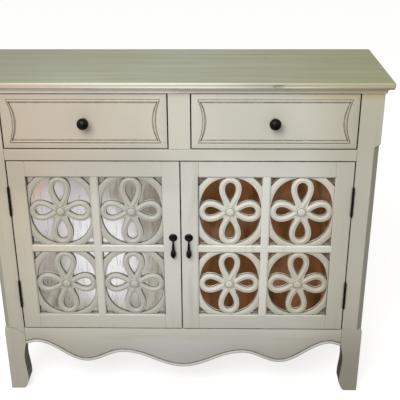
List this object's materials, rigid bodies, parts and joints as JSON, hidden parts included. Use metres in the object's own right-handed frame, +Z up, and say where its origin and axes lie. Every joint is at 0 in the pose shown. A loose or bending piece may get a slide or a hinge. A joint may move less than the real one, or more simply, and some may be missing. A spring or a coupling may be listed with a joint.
{
  "type": "sideboard",
  "caption": "Narrow painted console sideboard: drawers under an overhanging top, mirrored doors with looped fretwork, scalloped apron, shaped feet and dark knobs and drop pulls.",
  "frame": {"origin": "on the floor, at the middle of the bounding box in plan, knobs included", "axes": "+Z up, +X to the right seen from the front, the front faces -Y"},
  "size_m": [1.03, 0.3544, 0.915],
  "materials": {
    "cream_paint": "satin cream paint with a thin brown antique glaze in the grooves",
    "sage_top": "semi-gloss greenish grey paint, faintly brushed",
    "plain_board": "clear sealed light board",
    "mirror_glass": "polished silvered glass",
    "dark_bronze": "oil-rubbed dark bronze",
    "black_hinge": "blackened steel",
    "catch_plastic": "brown moulded plastic"
  },
  "bodies": {
    "root": {"apron": "cream_paint", "back_panel": "plain_board", "cabinet_floor": "plain_board", "centre_stile": "cream_paint", "cornice_front": "cream_paint", "cornice_left": "cream_paint", "cornice_right": "cream_paint", "door_catch": "catch_plastic", "drawer_deck": "plain_board", "drawer_partition": "plain_board", "hinge_left_lower_post_leaf": "black_hinge", "hinge_left_upper_post_leaf": "black_hinge", "hinge_right_lower_post_leaf": "black_hinge", "hinge_right_upper_post_leaf": "black_hinge", "mid_rail": "cream_paint", "post_front_left": "cream_paint", "post_front_right": "cream_paint", "post_rear_left": "cream_paint", "post_rear_right": "cream_paint", "shelf": "plain_board", "side_panel_left": "cream_paint", "side_panel_right": "cream_paint", "top_board": "sage_top", "top_rail": "cream_paint"},
    "drawer_left": {"drawer_left_back": "plain_board", "drawer_left_bottom": "plain_board", "drawer_left_front": "cream_paint", "drawer_left_knob": "dark_bronze", "drawer_left_side_left": "plain_board", "drawer_left_side_right": "plain_board"},
    "drawer_right": {"drawer_right_back": "plain_board", "drawer_right_bottom": "plain_board", "drawer_right_front": "cream_paint", "drawer_right_knob": "dark_bronze", "drawer_right_side_left": "plain_board", "drawer_right_side_right": "plain_board"},
    "door_left": {"door_left_backing": "plain_board", "door_left_fretwork": "cream_paint", "door_left_mirror": "mirror_glass", "door_left_muntins": "cream_paint", "door_left_pull_rosette": "dark_bronze", "door_left_rail_bottom": "cream_paint", "door_left_rail_top": "cream_paint", "door_left_stile_hinge": "cream_paint", "door_left_stile_meeting": "cream_paint", "hinge_left_lower_door_leaf": "black_hinge", "hinge_left_upper_door_leaf": "black_hinge"},
    "door_right": {"door_right_backing": "plain_board", "door_right_fretwork": "cream_paint", "door_right_mirror": "mirror_glass", "door_right_muntins": "cream_paint", "door_right_pull_rosette": "dark_bronze", "door_right_rail_bottom": "cream_paint", "door_right_rail_top": "cream_paint", "door_right_stile_hinge": "cream_paint", "door_right_stile_meeting": "cream_paint", "hinge_right_lower_door_leaf": "black_hinge", "hinge_right_upper_door_leaf": "black_hinge"},
    "pull_left": {"pull_left_drop": "dark_bronze"},
    "pull_right": {"pull_right_drop": "dark_bronze"}
  },
  "joints": [
    {"name": "drawer_left_slide", "type": "slide", "parent": "root", "child": "drawer_left", "axis": [0, -1, 0], "range_m": [0, 0.2]},
    {"name": "drawer_right_slide", "type": "slide", "parent": "root", "child": "drawer_right", "axis": [0, -1, 0], "range_m": [0, 0.2]},
    {"name": "door_left_hinge", "type": "hinge", "parent": "root", "child": "door_left", "pos_m": [-0.4395, -0.14705, 0.4565], "axis": [0, 0, -1], "range_deg": [0, 110]},
    {"name": "door_right_hinge", "type": "hinge", "parent": "root", "child": "door_right", "pos_m": [0.4395, -0.14705, 0.4565], "axis": [0, 0, 1], "range_deg": [0, 110]},
    {"name": "pull_left_swing", "type": "hinge", "parent": "door_left", "child": "pull_left", "pos_m": [-0.0205, -0.15235, 0.4915], "axis": [-1, 0, 0], "range_deg": [0, 80]},
    {"name": "pull_right_swing", "type": "hinge", "parent": "door_right", "child": "pull_right", "pos_m": [0.0205, -0.15235, 0.4915], "axis": [-1, 0, 0], "range_deg": [0, 80]}
  ]
}
